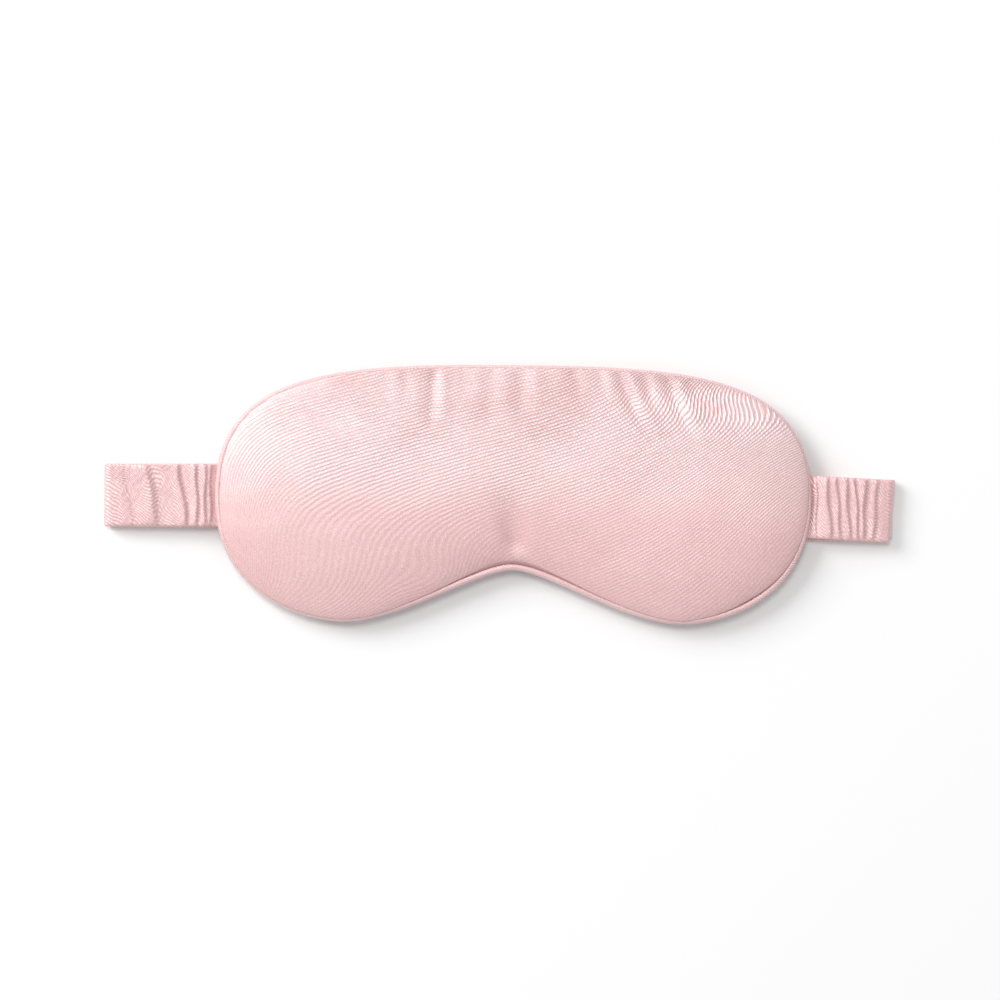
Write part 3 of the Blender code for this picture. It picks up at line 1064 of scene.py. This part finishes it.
fibreLook = {  # colour, colour in the hollows, roughness, size and depth of the grain
    "seamThread": ((0.60, 0.36, 0.37), (0.42, 0.22, 0.23), 0.6, 0.3 * mm, 0.1 * mm),
    "wadding": ((0.90, 0.89, 0.86), (0.70, 0.69, 0.66), 0.95, 1.5 * mm, 0.4 * mm),
    "blackoutCloth": ((0.022, 0.022, 0.026), (0.012, 0.012, 0.014), 0.85, 0.4 * mm, 0.05 * mm),
    "cottonCord": ((0.80, 0.76, 0.70), (0.60, 0.56, 0.50), 0.9, 0.5 * mm, 0.1 * mm),
    "wovenElastic": ((0.82, 0.79, 0.76), (0.62, 0.59, 0.56), 0.75, 0.6 * mm, 0.1 * mm),
}


def makeFibre(name, colour, deep, roughness, size, bumpDepth):
    material, shader = startMaterial(name, colour, roughness, 0.3)
    wiring = Wiring(material.node_tree)
    place = material.node_tree.nodes.new("ShaderNodeTexCoord").outputs["Object"]
    grain = wiring.noise(place, 1 / size, 4)
    wiring.join(wiring.mix(grain, deep, colour), shader.inputs["Base Color"])
    bump = material.node_tree.nodes.new("ShaderNodeBump")
    bump.inputs["Distance"].default_value = bumpDepth
    wiring.join(grain, bump.inputs["Height"])
    wiring.join(bump.outputs["Normal"], shader.inputs["Normal"])
    return material


def bendAtBridge(piece):
    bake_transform(piece)


def finishPiece(piece, material, slot, *nodes):
    piece.data.materials.clear()
    piece.data.materials.append(material)
    if nodes:
        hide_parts(*nodes)


def bothHalves(name):
    return f"{name}_left", f"{name}_right"


def makeMask():
    twill = makeTwillGroup()
    satin = {key: makeSatin(f"{key}Satin", look, twill) for key, look in satinLook.items()}
    thread, padding, lining, cotton, rubber = (makeFibre(name, *look) for name, look in fibreLook.items())

    front = makeFrontPanel()
    thicken(front, panelCut["thickness"], -1)
    finishPiece(front, satin["mask"], "mask_satin", *bothHalves("front_panel"))
    bendAtBridge(front)
    say("front panel")

    back = makeBackPanel()
    thicken(back, panelCut["thickness"], -1)
    finishPiece(back, satin["mask"], "mask_satin", *bothHalves("back_panel"))
    bendAtBridge(back)
    say("back panel")

    wadding = makeFilling("mask_wadding", waddingLow, waddingHigh)
    finishPiece(wadding, padding, "wadding", *bothHalves("wadding"))
    bendAtBridge(wadding)
    liner = makeFilling("blackout_liner", linerLow, linerHigh)
    finishPiece(liner, lining, "blackout_cloth", *bothHalves("blackout_liner"))
    bendAtBridge(liner)
    say("filling")

    cover, cord = makePiping()
    finishPiece(cover, satin["piping"], "piping_satin", *bothHalves("piping_cover"))
    bendAtBridge(cover)
    finishPiece(cord, cotton, "cotton_cord", *bothHalves("piping_cord"))
    bendAtBridge(cord)
    say("piping")

    for side in sideSign:
        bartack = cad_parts[f"seam_bartack_{side}"]
        bartack.data.materials.clear()
        bartack.data.materials.append(thread)
        strap = makeHeadStrap(side)
        for key, material, slot, node in (
            ("", satin["strap"], "strap_satin", "strap_casing"),
            ("Elastic", rubber, "woven_elastic", "strap_elastic"),
        ):
            stub, turn, run = strap["stub" + key], strap["fold" + key], strap["run" + key]
            finishPiece(stub, material, slot, f"{node}_{side}_stub")
            finishPiece(turn, material, slot)
            finishPiece(run, material, slot, f"{node}_{side}_side", f"{node}_{side}_back")
            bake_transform(stub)
            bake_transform(turn)
            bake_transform(run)
    say("head strap")


studio = {
    "cameraHeight": 1.175,
    "lens": 120,
    "spanMiddle": (0.2 * mm, -2.1 * mm),
    "roll": 0.5,
    "floorTone": 0.95,
    "skyStrength": 0.515,
    "lamps": {  # place, size, power
        "keyLamp": ((-2.1, 1.4, 1.65), 1.6, 66),
        "glossLamp": ((-0.22, 0.75, 2.6), 0.6, 16),
    },
}


def makeStudio():
    bpy.ops.mesh.primitive_plane_add(size=6, location=(0, 0, 0))
    floor = bpy.context.object
    floor.name = "floor"
    material, shader = startMaterial("paleFloor", (studio["floorTone"],) * 3, 0.9)
    shader.inputs["Specular IOR Level"].default_value = 0.1
    floor.data.materials.append(material)
    world = bpy.data.worlds.new("studioLight")
    bpy.context.scene.world = world
    world.use_nodes = True
    world.node_tree.nodes["Background"].inputs["Color"].default_value = (1, 1, 1, 1)
    world.node_tree.nodes["Background"].inputs["Strength"].default_value = studio["skyStrength"]
    for name, (place, size, power) in studio["lamps"].items():
        bpy.ops.object.light_add(type="AREA", location=place)
        lamp = bpy.context.object
        lamp.name = name
        lamp.data.size = size
        lamp.data.energy = power
        lamp.rotation_euler = (-Vector(place)).to_track_quat("-Z", "Y").to_euler()
    x, y = studio["spanMiddle"]
    bpy.ops.object.camera_add(location=(x, y, studio["cameraHeight"]))
    camera = bpy.context.object
    camera.data.lens = studio["lens"]
    camera.data.sensor_width = 36
    camera.data.dof.use_dof = False
    camera.rotation_euler = Euler((0, 0, math.radians(studio["roll"])))
    bpy.context.scene.camera = camera
    bpy.context.scene.view_settings.view_transform = "Standard"


makeStudio()
makeMask()
